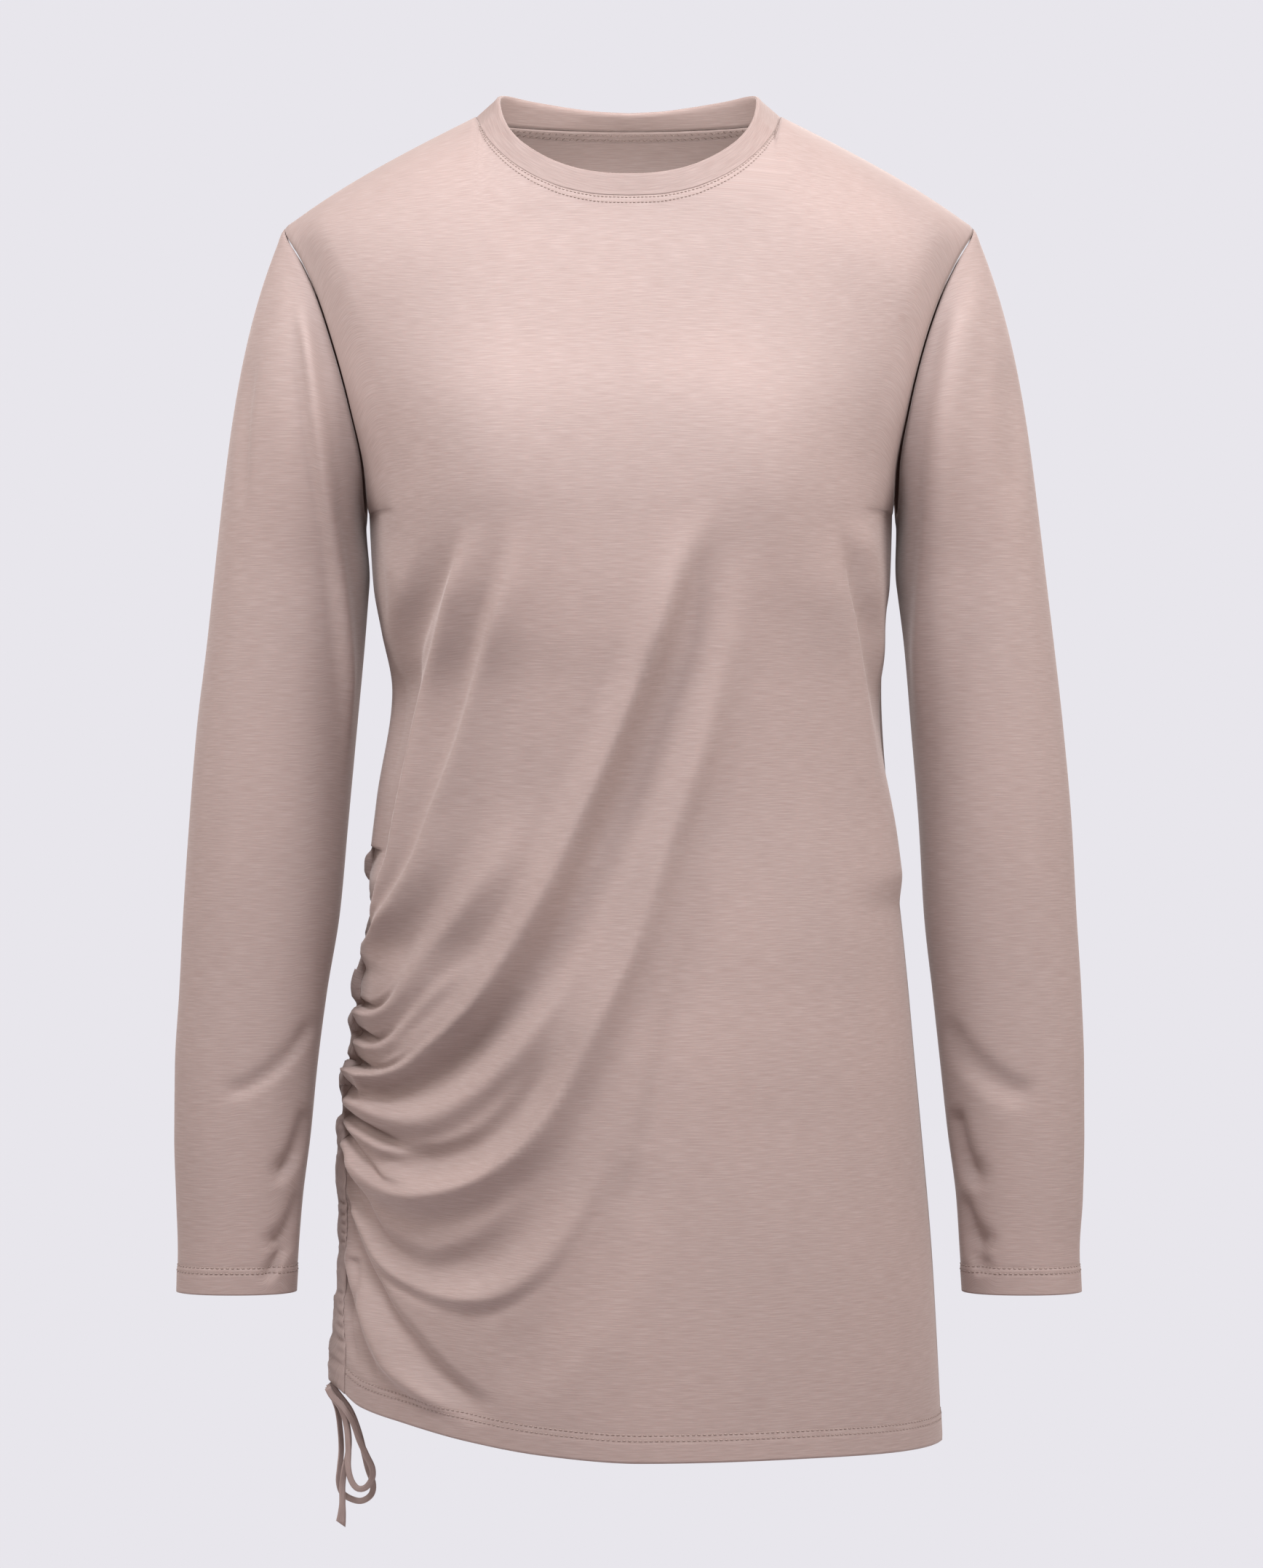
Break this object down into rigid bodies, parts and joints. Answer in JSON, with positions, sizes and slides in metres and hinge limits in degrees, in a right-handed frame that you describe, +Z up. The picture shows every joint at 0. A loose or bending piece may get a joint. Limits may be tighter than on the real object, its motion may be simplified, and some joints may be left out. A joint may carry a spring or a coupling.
{
  "type": "long-sleeved long top",
  "caption": "Long-sleeved jersey long top, filled out and hollow, with a round neckband and a drawstring that ruches the wearer's right side.",
  "frame": {"origin": "midway between the two points where the shoulder seams meet the neckband, where the wearer's shoulders hold the top", "axes": "+Z up along the top's length, +X towards the wearer's left, the front faces -Y"},
  "size_m": [0.51, 0.2478, 0.805],
  "materials": {
    "jersey": "soft slubbed knit with a faint sheen",
    "tie_jersey": "the same knit, sewn into a narrow tie"
  },
  "bodies": {
    "root": {"front_panel": "jersey", "back_panel": "jersey", "sleeve_left": "jersey", "sleeve_right": "jersey", "neckband": "jersey", "drawstring_casing": "jersey", "drawstring_tail": "tie_jersey", "drawstring_loop_front": "tie_jersey", "drawstring_loop_back": "tie_jersey"}
  },
  "joints": []
}
